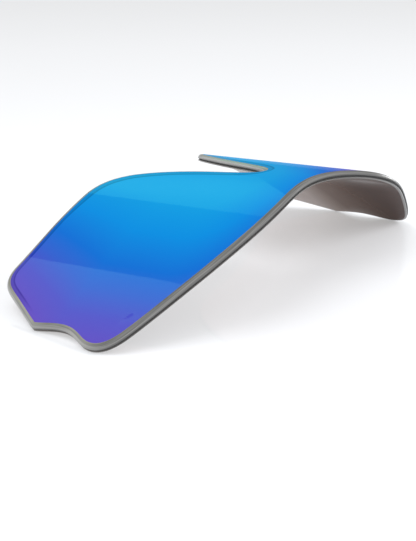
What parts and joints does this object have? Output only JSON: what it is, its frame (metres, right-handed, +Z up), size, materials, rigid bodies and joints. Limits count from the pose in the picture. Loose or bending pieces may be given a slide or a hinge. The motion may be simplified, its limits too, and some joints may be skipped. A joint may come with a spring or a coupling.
{
  "type": "ski goggle lens",
  "caption": "Wide curved double lens for ski goggles: blue mirrored outer pane and brown tinted inner pane bonded round a thin foam gasket, cut out for the nose.",
  "frame": {"origin": "centre of the footprint, on the floor that the lens rests on", "axes": "+X across the face, -Y towards the brow edge, +Z up out of the convex mirrored front"},
  "size_m": [0.1908, 0.0806, 0.0406],
  "materials": {
    "mirror_lens": "polycarbonate with a blue to violet interference mirror coating on its front",
    "tinted_lens": "brown tinted cellulose propionate, polished, with an anti-fog treated back",
    "gasket_foam": "matte closed-cell foam",
    "adhesive_tape": "double-sided acrylic tape",
    "membrane": "white porous PTFE film"
  },
  "bodies": {
    "root": {"outer_lens": "mirror_lens", "outer_tape": "adhesive_tape", "spacer_gasket": "gasket_foam", "inner_tape": "adhesive_tape", "inner_lens": "tinted_lens", "vent_tape": "adhesive_tape", "vent_membrane": "membrane"}
  },
  "joints": []
}
